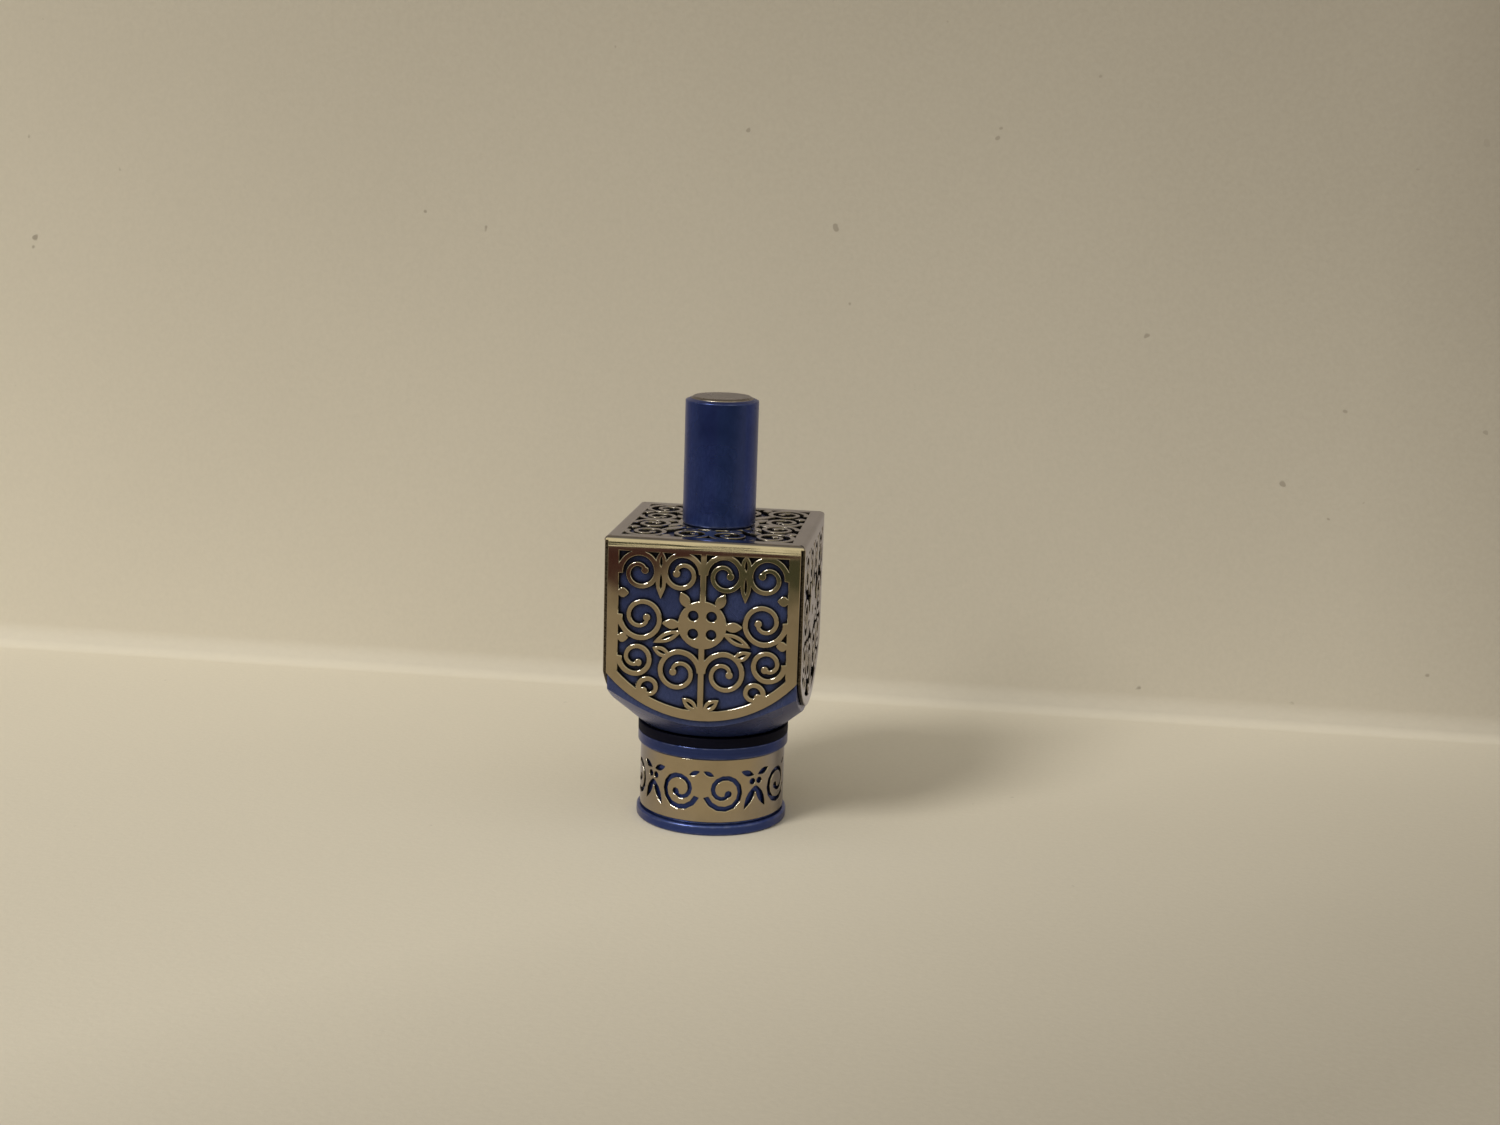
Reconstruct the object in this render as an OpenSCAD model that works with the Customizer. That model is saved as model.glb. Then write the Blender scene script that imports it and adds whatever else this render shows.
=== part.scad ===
// Dreidel on a round stand. A square blue block with a turned conical foot wears a folded,
// laser cut steel cover, and a cylindrical stem is screwed on top. The foot drops into a
// turned spool that has a cut steel band round its core.
// The origin is the centre of the stand's underside and +Z is up.

/* [Body] */
// Width across two flat faces
body_w = 38.4; // [34:0.1:44]
// Height of a flat face along its middle
face_h = 37.4; // [35:0.1:42]
// Slope of the conical foot above the horizontal, in degrees
foot_slope = 40; // [34:0.5:44]
// Radius of the rounded tip of the foot
tip_r = 1.5; // [0.8:0.1:2.5]
// Chamfer on the four upright corners
corner_cut = 0.4; // [0.2:0.05:0.8]
// Chamfer round the top, which clears the inside of the cover's folds
top_cut = 0.25; // [0.2:0.05:0.6]

/* [Stem] */
// Diameter of the stem
stem_d = 15; // [12:0.1:18]
// Height of the stem up to its shoulder
stem_len = 25.4; // [18:0.1:32]
// Width of the sloping shoulder round the steel disc
shoulder_w = 1.1; // [0.6:0.05:1.4]
// Rise of that shoulder
shoulder_h = 0.45; // [0.2:0.05:0.8]
// Chamfer where the stem meets the cover
stem_foot_cut = 0.3; // [0.1:0.05:0.5]
// Thickness of the steel disc
disc_t = 1.2; // [0.8:0.1:2]
// How far the disc stands above the shoulder
disc_proud = 0.4; // [0.2:0.05:0.6]
// Width of the disc's bevelled edge
disc_bevel = 0.6; // [0.3:0.05:1]
// Gap round the disc in its recess
disc_gap = 0.05; // [0.02:0.01:0.1]

/* [Stud] */
// Diameter of the hidden stud that joins stem and body
stud_d = 4; // [3:0.1:6]
// Length of the stud inside the stem
stud_in_stem = 9; // [6:0.1:12]
// Length of the stud inside the body
stud_in_body = 10; // [6:0.1:16]
// Clearance round the stud in its holes
stud_gap = 0.05; // [0.02:0.01:0.08]
// Free depth of the holes past each end of the stud
stud_end_gap = 0.5; // [0.3:0.1:1]
// Point bevel on each end of the stud
stud_point = 0.5; // [0.2:0.1:0.8]

/* [Cover] */
// Thickness of the steel sheet
sheet_t = 0.7; // [0.5:0.05:1]
// Gap between the flaps and the faces behind them
flap_gap = 0.1; // [0.05:0.01:0.2]
// Outer radius of the four folds
fold_r = 0.9; // [0.8:0.05:1.4]
// Slit between neighbouring folds at each corner
mitre_slit = 0.15; // [0.1:0.01:0.3]
// Set back of each flap's upright edges from its neighbour's inner face
flap_setback = 0.05; // [0.03:0.01:0.5]
// Depth of a flap along its middle, from the top of the cover
flap_drop = 36.8; // [34:0.1:38]
// Radius of the flap's rounded lower edge
flap_curve_r = 25.4; // [24:0.1:40]

/* [Scrollwork] */
// Plain border at the sides of a flap
side_border = 2.3; // [1.6:0.1:3]
// Plain border under the fold
fold_border = 2.8; // [1.8:0.1:3.5]
// Plain border along the rounded lower edge
low_border = 2; // [1.4:0.1:2.6]
// Plain border round the top of the cover
top_border = 2.9; // [2:0.1:3.4]
// Plain collar of sheet round the stem
collar_w = 0.9; // [0.6:0.1:1.5]
// Width of a scroll where it starts
vine_w = 1.15; // [0.9:0.05:1.4]
// Width of a scroll at its inner end
vine_tip_w = 0.8; // [0.6:0.05:1]
// Radius of the bead at the inner end of a scroll
bead_r = 0.75; // [0.5:0.05:1]
// Width of a leaf
leaf_w = 2.1; // [1.4:0.1:2.6]
// Width of the slit along the middle of a leaf
vein_w = 0.5; // [0.4:0.05:0.7]
// Hairline gaps narrower than this are filled
hairline = 0.1; // [0.06:0.01:0.2]
// Radius of the plain medallion on each flap
medallion_r = 4.9; // [4:0.1:5.4]
// Diameter of the pips pierced through the medallion
pip_d = 2.1; // [1.4:0.1:2.6]
// Distance of the pips from the middle of the medallion
pip_spread = 2.6; // [2.3:0.1:2.9]

/* [Stand] */
// Height of the spool without the seat ring
stand_h = 18.6; // [16:0.1:22]
// Diameter of the base flange
base_d = 31.5; // [28:0.1:36]
// Thickness of the base flange
base_t = 2.2; // [1.6:0.1:3]
// Step in from the edge of the base flange to the top flange and the seat ring
rim_in = 0.05; // [0:0.05:1]
// Thickness of the top flange
rim_t = 2.5; // [1.8:0.1:3.5]
// Bevel on the edges of both flanges
flange_bevel = 0.3; // [0.1:0.05:0.5]
// Floor left under the socket
floor_t = 3.6; // [2.6:0.1:4]
// Gap between the wall of the socket and the foot, at the top of the spool
socket_gap = 0.4; // [0.3:0.05:0.6]

/* [Band] */
// Thickness of the steel band
band_t = 0.6; // [0.4:0.05:0.8]
// Step from the top flange in to the band
band_step = 0.6; // [0.3:0.05:1]
// Gap between the band and the core
band_gap = 0.05; // [0.02:0.01:0.1]
// Open groove between the base flange and the band
band_rise = 0.5; // [0.2:0.05:0.8]
// Gap between the band and the top flange
band_top_gap = 0.1; // [0.05:0.01:0.3]
// Width of the seam at the back of the band
seam_w = 0.25; // [0.1:0.05:0.5]
// Plain border along both edges of the band
band_border = 2.1; // [1.5:0.1:2.8]
// Number of scrolls round the band
band_repeats = 8; // [6:1:9]
// Width of the slots cut in the band
slot_w = 1.05; // [0.7:0.05:1.2]

/* [Seat ring] */
// Height of the dark ring that the foot rests in
ring_h = 2.05; // [1.2:0.05:2.5]
// Width of the ring's flat top
ring_land = 0.65; // [0.4:0.05:1]
// Gap between the ring and the foot
seat_gap = 0.15; // [0.1:0.01:0.3]

/* [Hidden] */
$fn = 96;

blue = [0.16, 0.23, 0.47];
steel = [0.72, 0.69, 0.62];
ring_black = [0.04, 0.04, 0.05];

// One overrun serves every cut.
over = 1;

// Steps of the drawn curves: for a full turn of a scroll, along a leaf and round a bead.
curl_steps = 14;
leaf_steps = 5;
bead_steps = 8;

// Heights of the foot. The cone is set by the ring that it rests in.
ring_top = stand_h + ring_h;
rim_d = base_d - 2 * rim_in;
seat_r = rim_d / 2 - ring_land;
apex_z = ring_top + seat_gap - seat_r * tan(foot_slope);
face_z = apex_z + body_w / 2 * tan(foot_slope);
body_top = face_z + face_h;
body_corner_r = body_w / 2 * sqrt(2);
foot_top_z = apex_z + body_corner_r * tan(foot_slope);

// The rounded tip touches the cone along a circle.
tip_z = apex_z + tip_r / cos(foot_slope);
tip_touch_r = tip_r * sin(foot_slope);
tip_touch_z = tip_z - tip_r * cos(foot_slope);

// Cover
cover_w = body_w + 2 * (flap_gap + sheet_t);
cover_top = body_top + sheet_t;
flap_w = cover_w - 2 * (sheet_t + flap_setback);
half_w = flap_w / 2;
flat_half = cover_w / 2 - fold_r;
fold_lap = fold_r / 2;
plate_half = flat_half - fold_lap / 2;
flap_len = flap_drop - fold_r;
field_half = half_w - side_border;
top_field = cover_w / 2 - top_border;

// Stem
stem_top = cover_top + stem_len;
disc_r = stem_d / 2 - shoulder_w;
collar_r = stem_d / 2 + collar_w;
recess_z = stem_top + shoulder_h - (disc_t - disc_proud);

// Stand
band_r = rim_d / 2 - band_step;
core_r = band_r - band_t - band_gap;
socket_r = (stand_h - apex_z) / tan(foot_slope) + socket_gap;
rim_z = stand_h - rim_t;
band_z = base_t + band_rise;
band_h = rim_z - band_top_gap - band_z;

// Scrolls on the right half of a flap, mirrored onto the left. Each row has the centre as
// shares of the pierced half width and of the flap's length, then the radius as a share of
// the pierced half width, the angle where it starts, its turns, and 1 or -1 for its hand.
flap_curl_shares = [
    [0.248, 0.168, 0.227, 180, 1.50, -1],
    [0.755, 0.170, 0.231, 355, 1.45, 1],
    [0.729, 0.422, 0.253, 5, 1.50, -1],
    [0.266, 0.727, 0.248, 180, 1.50, -1],
    [0.788, 0.657, 0.194, 5, 1.35, -1],
    [0.626, 0.825, 0.118, 270, 1.15, 1]];

// Height of the medallion on the flap, the width of the trunk, how far a leaf's base lies
// inside the medallion, and how many leaf widths long a leaf with a slit is
medallion_share = 0.451;
trunk_share = 0.06;
leaf_root_share = 0.86;
veined_leaf_share = 1.9;

// Leaves on the right half of a flap: base, direction in degrees, and length as a share of
// the pierced half width. Free leaves have their base as shares of that width and of the
// flap's length. Medallion leaves have its angle, and edge leaves its height and depth.
free_leaf_shares = [
    [0.500, 0.040, 270, 0.270],
    [0.500, 0.120, 270, 0.413],
    [0.363, 0.640, 25, 0.250],
    [0.023, 0.945, 38, 0.250]];
medallion_leaf_shares = [
    [50, 62, 0.222],
    [358, 2, 0.232],
    [341, 335, 0.380]];
edge_leaf_shares = [
    [0.290, 0.17, 0.148],
    [0.545, 0.17, 0.148]];

// The same leaves as places: base, direction and length
flap_leaves = [
    for (l = free_leaf_shares)
        [[l[0] * field_half, -l[1] * flap_len], l[2], l[3] * field_half],
    for (l = medallion_leaf_shares)
        [[0, -medallion_share * flap_len] + polar(leaf_root_share * medallion_r, l[0]),
         l[1], l[2] * field_half],
    for (l = edge_leaf_shares)
        [[field_half + l[1] * side_border, -l[0] * flap_len], 180, l[2] * field_half]];

// Scrolls on one eighth of the top, with centre and radius as shares of its pierced half
// width. Spoke leaves join the collar to the scrolls and have their direction and reach,
// collar leaves their place on the collar, direction and length, and edge leaves as above.
top_curl_share = [0.766, 0.239, 0.215, 5, 1.40, -1];
top_corner_curl_share = [0.743, 0.743, 0.240, 345, 1.50, 1];
spoke_leaf_shares = [[45, 0.870], [0, 0.780]];
collar_leaf_share = [22, 52, 0.250];
top_edge_leaf_share = [0.482, 0.10, 0.152];

// Slots of one repeat of the band. The curl has its centre as shares of half the repeat's
// width and of the pierced height, its radius, start, turns and hand. A leaf has its base,
// direction, length and width, and the dot its centre and radius.
band_curl_share = [-0.22, 0, 0.42, 200, 1.35, 1];
band_leaf_shares = [
    [0.55, -0.46, 62, 0.62, 1.5],
    [0.42, 0.44, 340, 0.34, 1.2],
    [-0.94, 0.46, 335, 0.26, 0.9]];
band_dot_share = [0.86, 0.18, 0.62];
slot_tip_share = 0.75;
slot_bead_share = 0.7;

// Merges drawn strokes into one outline and fills the hairline gaps between them
module merged() {
    offset(delta = -hairline / 2) offset(delta = hairline / 2) children();
}

// A point at a distance and an angle from the middle
function polar(r, a) = [r * cos(a), r * sin(a)];

// Radius along a curl: full for a third of a turn, then steadily smaller
curl_hold_share = 0.3;
function curl_r(t, turns, r_out, r_in) =
    r_out - (r_out - r_in) * max(0, t - curl_hold_share) / (turns - curl_hold_share);

// A curl that winds inwards from angle a, hand 1 anticlockwise or -1 clockwise. It is drawn
// as two stretches of less than a turn, because one outline would cross itself.
module curl(r_out, a, turns, hand, w_out, w_in, bead) {
    steps = ceil(turns * curl_steps);
    half_way = floor(steps / 2);
    r_in = w_in + bead / 2;
    for (span = [[0, half_way], [half_way, steps]]) {
        ts = [for (i = [span[0] : span[1]]) turns * i / steps];
        outer = [for (t = ts)
            polar(curl_r(t, turns, r_out, r_in) + (w_out + (w_in - w_out) * t / turns) / 2,
                  a + hand * 360 * t)];
        inner = [for (i = [len(ts) - 1 : -1 : 0]) let (t = ts[i])
            polar(curl_r(t, turns, r_out, r_in) - (w_out + (w_in - w_out) * t / turns) / 2,
                  a + hand * 360 * t)];
        polygon(concat(outer, inner));
    }
    translate(polar(r_in, a + hand * 360 * turns)) circle(r = bead, $fn = bead_steps);
}

// A pointed leaf from the origin along +X, drawn as one outline
module leaf_shape(len, w) {
    upper = [for (i = [0 : leaf_steps]) let (t = i / leaf_steps)
        [len * t, w / 2 * sin(180 * t)]];
    lower = [for (i = [leaf_steps - 1 : -1 : 1]) let (t = i / leaf_steps)
        [len * t, -w / 2 * sin(180 * t)]];
    polygon(concat(upper, lower));
}

// Outline of a flap, hung from the X axis: upright sides and a round lower edge
module flap_outline(side_in, low_in, top_in) {
    intersection() {
        translate([side_in - half_w, low_in - flap_len])
            square([2 * (half_w - side_in), flap_len - low_in - top_in]);
        translate([0, flap_curve_r - flap_len])
            circle(r = flap_curve_r - low_in, $fn = 6 * curl_steps);
    }
}

// Scrolls and leaves of one half of a flap
module flap_half_scrolls() {
    for (c = flap_curl_shares)
        translate([c[0] * field_half, -c[1] * flap_len])
            curl(c[2] * field_half, c[3], c[4], c[5], vine_w, vine_tip_w, bead_r);
    for (l = flap_leaves) translate(l[0]) rotate(l[1]) leaf_shape(l[2], leaf_w);
}

// Slits along the middle of the longer leaves
module leaf_veins() {
    for (l = flap_leaves)
        if (l[2] > veined_leaf_share * leaf_w)
            translate(l[0]) rotate(l[1]) translate([l[2] / 4, 0]) leaf_shape(l[2] / 2, vein_w);
}

// Pips of one face: one, two, three or four
module pips(count) {
    if (count % 2 == 1) circle(d = pip_d, $fn = 20);
    if (count > 1)
        for (i = [0 : count - 1 - count % 2])
            rotate(45 + i * 360 / (count - count % 2))
                translate([pip_spread, 0]) circle(d = pip_d, $fn = 20);
}

// Drawing of one flap with its scrollwork and its number of pips
module flap_drawing(count) {
    merged() difference() {
        union() {
            difference() {
                flap_outline(0, 0, 0);
                flap_outline(side_border, low_border, fold_border - fold_r);
            }
            intersection() {
                flap_outline(0, 0, 0);
                union() {
                    flap_half_scrolls();
                    mirror([1, 0]) flap_half_scrolls();
                    translate([0, -medallion_share * flap_len])
                        circle(r = medallion_r, $fn = 2 * curl_steps);
                    translate([-trunk_share * half_w / 2, -flap_len])
                        square([trunk_share * half_w, flap_len]);
                }
            }
        }
        leaf_veins();
        mirror([1, 0]) leaf_veins();
        translate([0, -medallion_share * flap_len]) pips(count);
    }
}

// A scroll of the top, placed and sized by a row of shares
module top_curl(c) {
    translate([c[0] * top_field, c[1] * top_field])
        curl(c[2] * top_field, c[3], c[4], c[5], vine_w, vine_tip_w, bead_r);
}

// Scrollwork of one eighth of the top, from the middle towards +X
module top_eighth() {
    l = collar_leaf_share;
    e = top_edge_leaf_share;
    top_curl(top_curl_share);
    translate(polar(stem_d / 2, l[0])) rotate(l[1]) leaf_shape(l[2] * top_field, leaf_w);
    translate([top_field + e[1] * top_border, e[0] * top_field]) rotate(180)
        leaf_shape(e[2] * top_field, leaf_w);
}

// Drawing of the flat top, with a hole for the stud
module top_drawing() {
    difference() {
        merged() {
            difference() {
                square(2 * plate_half, center = true);
                square(2 * top_field, center = true);
            }
            circle(r = collar_r, $fn = 3 * curl_steps);
            intersection() {
                square(2 * plate_half, center = true);
                union() for (q = [0 : 3]) rotate(q * 90) {
                    top_eighth();
                    mirror([0, 1]) top_eighth();
                    top_curl(top_corner_curl_share);
                    for (l = spoke_leaf_shares)
                        rotate(l[0]) translate([stem_d / 2, 0])
                            leaf_shape(l[1] * top_field - stem_d / 2, leaf_w);
                }
            }
        }
        circle(r = stud_d / 2 + stud_gap);
    }
}

// One of the four folds, with its ends mitred towards the neighbouring folds. It laps the
// flat top, whose drawing stops short of the bend.
module fold() {
    intersection() {
        translate([flat_half, 0, cover_top - fold_r]) rotate([90, 0, 0])
            linear_extrude(cover_w, center = true) {
                intersection() {
                    difference() {
                        circle(r = fold_r);
                        circle(r = fold_r - sheet_t);
                    }
                    square(fold_r + over);
                }
                translate([-fold_lap, fold_r - sheet_t]) square([fold_lap, sheet_t]);
            }
        translate([0, 0, cover_top - fold_r - over])
            linear_extrude(fold_r + 2 * over)
                polygon([[mitre_slit, 0], [cover_w, mitre_slit - cover_w],
                         [cover_w, cover_w - mitre_slit]]);
    }
}

// Side view of the block, chamfered at the top
module block_profile() {
    half = body_w / 2;
    polygon([[-half, apex_z - over], [half, apex_z - over], [half, body_top - top_cut],
             [half - top_cut, body_top], [top_cut - half, body_top],
             [-half, body_top - top_cut]]);
}

// Blue block with its conical foot
module body() {
    half = body_w / 2;
    cut = corner_cut;
    color(blue)
    difference() {
        intersection() {
            translate([0, 0, apex_z - over])
                linear_extrude(body_top - apex_z + 2 * over)
                    polygon([[half - cut, -half], [half, cut - half], [half, half - cut],
                             [half - cut, half], [cut - half, half], [-half, half - cut],
                             [-half, cut - half], [cut - half, -half]]);
            rotate([90, 0, 0]) linear_extrude(body_w + 2 * over, center = true)
                block_profile();
            rotate([90, 0, 90]) linear_extrude(body_w + 2 * over, center = true)
                block_profile();
            rotate_extrude() {
                polygon([[0, tip_touch_z], [tip_touch_r, tip_touch_z],
                         [body_corner_r, foot_top_z], [body_corner_r, body_top + over],
                         [0, body_top + over]]);
                intersection() {
                    translate([0, tip_z]) circle(r = tip_r);
                    translate([0, tip_z - tip_r]) square([tip_r, tip_touch_z - tip_z + tip_r]);
                }
            }
        }
        translate([0, 0, body_top - stud_in_body - stud_end_gap])
            cylinder(d = stud_d + 2 * stud_gap, h = stud_in_body + stud_end_gap + over);
    }
}

// Folded steel cover: flat top, four folds and four flaps
module cover() {
    color(steel) {
        translate([0, 0, body_top]) linear_extrude(sheet_t) top_drawing();
        for (q = [0 : 3]) rotate(q * 90) {
            fold();
            translate([cover_w / 2 - sheet_t, 0, cover_top - fold_r]) rotate([90, 0, 90])
                linear_extrude(sheet_t) flap_drawing(q + 1);
        }
    }
}

// Stem with a shoulder, a recess for the disc and a blind hole for the stud
module stem() {
    r = stem_d / 2;
    color(blue)
    difference() {
        rotate_extrude()
            polygon([[0, cover_top], [r - stem_foot_cut, cover_top],
                     [r, cover_top + stem_foot_cut], [r, stem_top],
                     [disc_r + disc_gap, stem_top + shoulder_h], [0, stem_top + shoulder_h]]);
        translate([0, 0, recess_z]) cylinder(r = disc_r + disc_gap, h = disc_t + over);
        translate([0, 0, cover_top - over])
            cylinder(d = stud_d + 2 * stud_gap, h = stud_in_stem + stud_end_gap + over);
    }
}

// Bare steel disc let into the top of the stem
module stem_disc() {
    color(steel) rotate_extrude()
        polygon([[0, recess_z], [disc_r, recess_z], [disc_r, stem_top + shoulder_h],
                 [disc_r - disc_bevel, recess_z + disc_t], [0, recess_z + disc_t]]);
}

// Headless stud through the top of the cover
module stem_stud() {
    r = stud_d / 2;
    low = body_top - stud_in_body;
    high = cover_top + stud_in_stem;
    color(steel) rotate_extrude()
        polygon([[0, low], [r - stud_point, low], [r, low + stud_point],
                 [r, high - stud_point], [r - stud_point, high], [0, high]]);
}

// Turned spool: base flange, core, top flange and the socket for the foot
module stand_spool() {
    b = flange_bevel;
    color(blue) rotate_extrude()
        polygon([[0, 0], [base_d / 2 - b, 0], [base_d / 2, b], [base_d / 2, base_t - b],
                 [base_d / 2 - b, base_t], [core_r, base_t], [core_r, rim_z],
                 [rim_d / 2 - b, rim_z], [rim_d / 2, rim_z + b], [rim_d / 2, stand_h],
                 [socket_r, stand_h], [socket_r, floor_t], [0, floor_t]]);
}

// Dark ring on the spool, bored to the slope of the foot
module seat_ring() {
    low_r = socket_r + socket_gap;
    color(ring_black) rotate_extrude()
        polygon([[low_r, stand_h], [rim_d / 2, stand_h], [rim_d / 2, ring_top],
                 [seat_r, ring_top],
                 [low_r, ring_top - (seat_r - low_r) * tan(foot_slope)]]);
}

// Slots of one repeat of the band, around the middle of its height
module band_slots(flip) {
    clear_h = band_h - 2 * band_border;
    half_pitch_w = band_r * sin(180 / band_repeats);
    c = band_curl_share;
    d = band_dot_share;
    mirror([flip, 0]) {
        translate([c[0] * half_pitch_w, c[1] * clear_h])
            curl(c[2] * clear_h, c[3], c[4], c[5], slot_w, slot_tip_share * slot_w,
                 slot_bead_share * slot_w);
        for (l = band_leaf_shares)
            translate([l[0] * half_pitch_w, l[1] * clear_h]) rotate(l[2])
                leaf_shape(l[3] * clear_h, l[4] * slot_w);
        translate([d[0] * half_pitch_w, d[1] * clear_h]) circle(r = d[2] * slot_w, $fn = 14);
    }
}

// Steel band round the core, cut through square to its surface, with a seam at the back
module stand_band() {
    pitch = 360 / band_repeats;
    color(steel)
    difference() {
        translate([0, 0, band_z]) cylinder(r = band_r, h = band_h);
        translate([0, 0, band_z - over]) cylinder(r = band_r - band_t, h = band_h + 2 * over);
        translate([-seam_w / 2, 0, band_z - over]) cube([seam_w, band_r + over, band_h + 2 * over]);
        for (i = [0 : band_repeats - 1])
            rotate(-90 + (i + 0.5) * pitch) translate([band_r - 2 * band_t, 0, band_z + band_h / 2])
                rotate([90, 0, 90]) linear_extrude(3 * band_t) band_slots(i % 2);
    }
}

body();
cover();
stem();
stem_disc();
stem_stud();
stand_spool();
seat_ring();
stand_band();
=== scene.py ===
# The looks of a dreidel on its round stand. The sections follow the object as it is put
# together: the turned stand first, then the block, its folded steel cover, and the stem.
# Sizes are in metres.
import math

import bmesh
import bpy
from mathutils import Matrix, Vector
from mathutils.geometry import delaunay_2d_cdt


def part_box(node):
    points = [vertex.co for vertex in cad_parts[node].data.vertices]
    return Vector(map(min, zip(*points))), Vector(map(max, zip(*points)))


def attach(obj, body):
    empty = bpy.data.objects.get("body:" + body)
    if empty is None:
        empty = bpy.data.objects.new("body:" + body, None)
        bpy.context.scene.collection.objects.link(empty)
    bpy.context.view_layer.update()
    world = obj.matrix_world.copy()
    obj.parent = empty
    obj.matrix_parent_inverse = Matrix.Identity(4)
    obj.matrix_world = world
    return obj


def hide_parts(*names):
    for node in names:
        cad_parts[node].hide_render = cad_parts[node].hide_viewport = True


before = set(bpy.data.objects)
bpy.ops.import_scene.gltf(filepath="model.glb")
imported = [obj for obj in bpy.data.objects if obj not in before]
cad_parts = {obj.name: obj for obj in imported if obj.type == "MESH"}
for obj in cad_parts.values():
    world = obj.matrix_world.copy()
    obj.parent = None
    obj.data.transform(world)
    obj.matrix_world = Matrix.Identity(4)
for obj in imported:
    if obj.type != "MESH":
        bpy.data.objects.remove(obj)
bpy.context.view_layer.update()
mm = 0.001

# Camera
# It stands where the photograph was taken from: above the object and a little to the right
# of its front face, and turned slightly round its own line of sight.
cover_low, cover_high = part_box("cover")
across = cover_high.x - cover_low.x
view_turn, view_drop, view_roll = (math.radians(a) for a in (7.096, 11.866, 1.806))
view_distance = 10.745 * across
aim_right, aim_up = 0.166 * across, 1.355 * across
sensor_width = 36
lens_per_sensor = 1.3864

to_camera = Vector((math.sin(view_turn) * math.cos(view_drop),
                    -math.cos(view_turn) * math.cos(view_drop), math.sin(view_drop)))
level_right = Vector((math.cos(view_turn), math.sin(view_turn), 0))
level_up = to_camera.cross(level_right)
camera_right = level_right * math.cos(view_roll) + level_up * math.sin(view_roll)
camera_up = level_up * math.cos(view_roll) - level_right * math.sin(view_roll)
camera_data = bpy.data.cameras.new("camera")
camera_data.sensor_width = sensor_width
camera_data.sensor_fit = "HORIZONTAL"
camera_data.lens = lens_per_sensor * sensor_width
camera_data.clip_start = 0.01
camera = bpy.data.objects.new("camera", camera_data)
bpy.context.scene.collection.objects.link(camera)
camera.matrix_world = Matrix.Translation(
    Vector((0, 0, aim_up)) + to_camera * view_distance + level_right * aim_right
) @ Matrix((camera_right, camera_up, to_camera)).transposed().to_4x4()
bpy.context.scene.camera = camera


# Stand spool
# One piece of aluminium turned on a lathe: base flange, core, top flange and a bored socket.
# It is anodised a satin blue, and the tool's fine rings still show in the finish.
def link(name, mesh):
    """Makes a piece of a finished mesh and puts it in the scene."""
    piece = bpy.data.objects.new(name, mesh)
    bpy.context.scene.collection.objects.link(piece)
    return piece


def round_corners(outline, radius, steps=4, ease=0.2 * mm):
    """Rounds the corners of an outline, but not its ends on the axis. Each row of the
    result is a point and 1 on a rounded corner, or 0 on the flat beside it."""
    points = [Vector(p) for p in outline]
    rows = []
    for i, corner in enumerate(points):
        if corner.x == 0:
            rows.append((corner, 0))
            continue
        before, after = points[i - 1], points[(i + 1) % len(points)]
        if (corner - before).angle(after - corner) < 1e-3:
            rows.append((corner, 0))
            continue
        reach = min(radius, (before - corner).length * 0.4, (after - corner).length * 0.4)
        back, on = (before - corner).normalized(), (after - corner).normalized()
        start, end = corner + back * reach, corner + on * reach
        if (before - start).length > 3 * ease:
            rows.append((start + back * ease, 0))
        for step in range(steps + 1):
            t = step / steps
            rows.append((start.lerp(corner, t).lerp(corner.lerp(end, t), t), 1))
        if (after - end).length > 3 * ease:
            rows.append((end + on * ease, 0))
    return rows


def turned(name, outline, radius, segments=160):
    """Turns an outline of (distance from the axis, height) points into a closed solid."""
    form = bmesh.new()
    edge = form.verts.layers.float.new("edge")
    rings = []
    for point, worn in round_corners(outline, radius):
        if point.x < 1e-7:
            ring = [form.verts.new((0, 0, point.y))]
        else:
            ring = [form.verts.new((point.x * math.cos(a), point.x * math.sin(a), point.y))
                    for a in (math.tau * i / segments for i in range(segments))]
        for vertex in ring:
            vertex[edge] = worn
        rings.append(ring)
    on_axis = len(rings[0]) == 1
    for low, high in zip(rings, rings[1:] if on_axis else rings[1:] + rings[:1]):
        for i in range(segments):
            j = (i + 1) % segments
            around = [low[i % len(low)], low[j % len(low)],
                      high[j % len(high)], high[i % len(high)]]
            corners = list(dict.fromkeys(around))
            if len(corners) > 2:
                form.faces.new(corners)
    bmesh.ops.recalc_face_normals(form, faces=form.faces)
    mesh = bpy.data.meshes.new(name)
    form.to_mesh(mesh)
    form.free()
    mesh.shade_smooth()
    return link(name, mesh)


def put_node(tree, kind, inputs=None, **settings):
    """Adds a node. Its inputs are sockets to link or plain values, by name or by number."""
    node = tree.nodes.new(kind)
    for key, value in settings.items():
        setattr(node, key, value)
    for key, value in (inputs or {}).items():
        if isinstance(value, bpy.types.NodeSocket):
            tree.links.new(value, node.inputs[key])
        else:
            node.inputs[key].default_value = value
    return node


def calc(tree, operation, *values):
    """Adds a Math node and gives its output."""
    return put_node(tree, "ShaderNodeMath", dict(enumerate(values)),
                    operation=operation).outputs[0]


def ramp(tree, value, low, high, at_low=0.0, at_high=1.0):
    """Carries a value from one range to another and holds it at the ends."""
    return put_node(tree, "ShaderNodeMapRange", {
        "Value": value, "From Min": low, "From Max": high, "To Min": at_low,
        "To Max": at_high}).outputs[0]


def tint(tree, share, colour, other, blend="MIX"):
    """Mixes two colours by a share, 0 for the first and 1 for the other."""
    return put_node(tree, "ShaderNodeMix", {0: share, 6: colour, 7: other}, data_type="RGBA",
                    blend_type=blend).outputs[2]


def noise(tree, place, scale, detail, roughness=0.5):
    """Adds a Noise Texture and gives its value."""
    return put_node(tree, "ShaderNodeTexNoise", {
        "Vector": place, "Scale": scale, "Detail": detail, "Roughness": roughness}).outputs["Fac"]


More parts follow.
